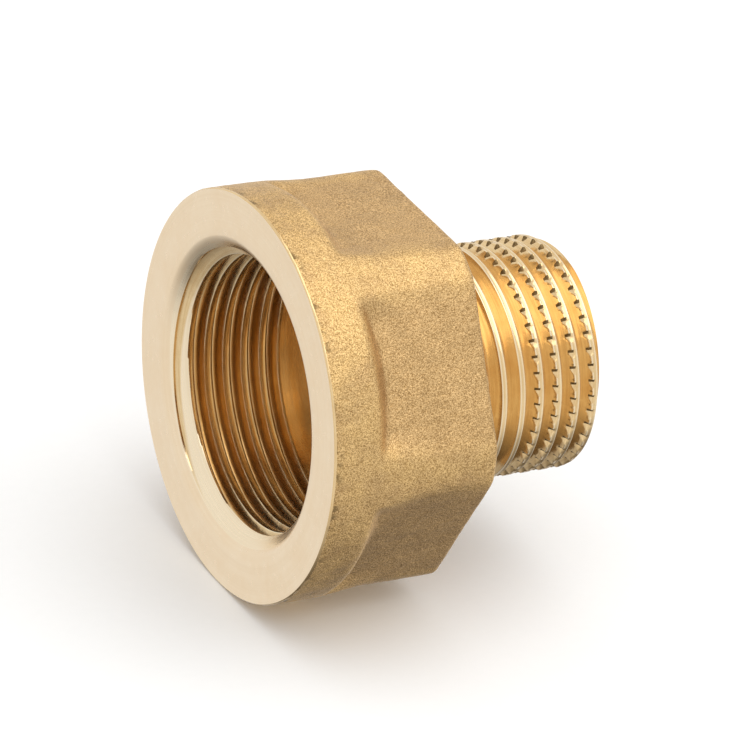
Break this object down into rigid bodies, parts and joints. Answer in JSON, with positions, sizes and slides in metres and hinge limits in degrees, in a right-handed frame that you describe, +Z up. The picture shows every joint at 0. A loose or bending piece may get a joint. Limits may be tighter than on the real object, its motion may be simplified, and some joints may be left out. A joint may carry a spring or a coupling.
{
  "type": "reducing coupling",
  "caption": "Brass reducing coupling with a female G 3/4 socket, a hexagon and a male G 1/2 spigot with serrated crests.",
  "frame": {"origin": "centre of the female end face, on the part axis", "axes": "+X along the part axis from the female end towards the male end, hexagon flats facing +Z and -Z, +Z up"},
  "size_m": [0.031, 0.0368, 0.0368],
  "materials": {
    "brass": "satin"
  },
  "bodies": {
    "root": {"coupling_body": "brass"}
  },
  "joints": []
}
